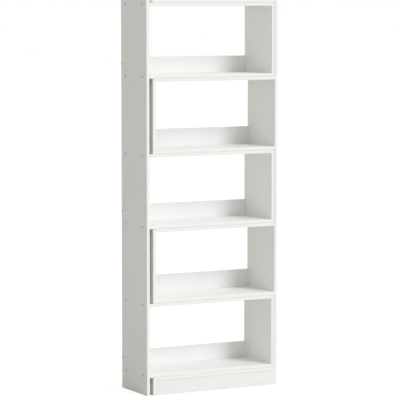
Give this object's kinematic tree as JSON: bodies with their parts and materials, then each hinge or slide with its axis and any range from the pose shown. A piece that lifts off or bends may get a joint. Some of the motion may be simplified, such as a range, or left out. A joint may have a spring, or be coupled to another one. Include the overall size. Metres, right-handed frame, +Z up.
{
  "type": "extendable bookcase",
  "caption": "Tall white open-back bookcase of two interlocking halves that slide apart to widen it, with stacked shelf boxes, low back rails and a plinth.",
  "frame": {"origin": "on the floor under the centre of the closed bookcase", "axes": "+Z up, +X to the right as seen from the front, +Y to the back"},
  "size_m": [0.7, 0.265, 1.85],
  "materials": {
    "white_melamine_board": "white melamine on chipboard, fine satin texture, matching edge band",
    "zinc_screw": "dull zinc-plated furniture screw",
    "beech_dowel": "plain beech, unfinished",
    "felt_pad": "pressed felt",
    "white_glide": "moulded polyethylene"
  },
  "bodies": {
    "left_half": {"left_side_panel": "white_melamine_board", "row1_top_board": "white_melamine_board", "row1_bottom_board": "white_melamine_board", "row1_end_panel": "white_melamine_board", "row1_back_rail": "white_melamine_board", "row3_top_board": "white_melamine_board", "row3_bottom_board": "white_melamine_board", "row3_end_panel": "white_melamine_board", "row3_back_rail": "white_melamine_board", "row5_top_board": "white_melamine_board", "row5_bottom_board": "white_melamine_board", "row5_end_panel": "white_melamine_board", "row5_back_rail": "white_melamine_board", "left_panel_screws": "zinc_screw", "left_box_end_screws": "zinc_screw", "left_half_dowels": "beech_dowel", "left_half_slide_pads": "felt_pad", "left_floor_glides": "white_glide"},
    "right_half": {"right_side_panel": "white_melamine_board", "top_cover_board": "white_melamine_board", "row2_top_board": "white_melamine_board", "row2_bottom_board": "white_melamine_board", "row2_end_panel": "white_melamine_board", "row2_back_rail": "white_melamine_board", "row4_top_board": "white_melamine_board", "row4_bottom_board": "white_melamine_board", "row4_end_panel": "white_melamine_board", "row4_back_rail": "white_melamine_board", "plinth_top_board": "white_melamine_board", "plinth_kick_board": "white_melamine_board", "plinth_rear_board": "white_melamine_board", "plinth_end_panel": "white_melamine_board", "right_panel_screws": "zinc_screw", "right_box_end_screws": "zinc_screw", "right_half_dowels": "beech_dowel", "right_half_slide_pads": "felt_pad", "right_floor_glides": "white_glide"}
  },
  "joints": [
    {"name": "width_extension", "type": "slide", "parent": "left_half", "child": "right_half", "axis": [1, 0, 0], "range_m": [0, 0.45]}
  ]
}
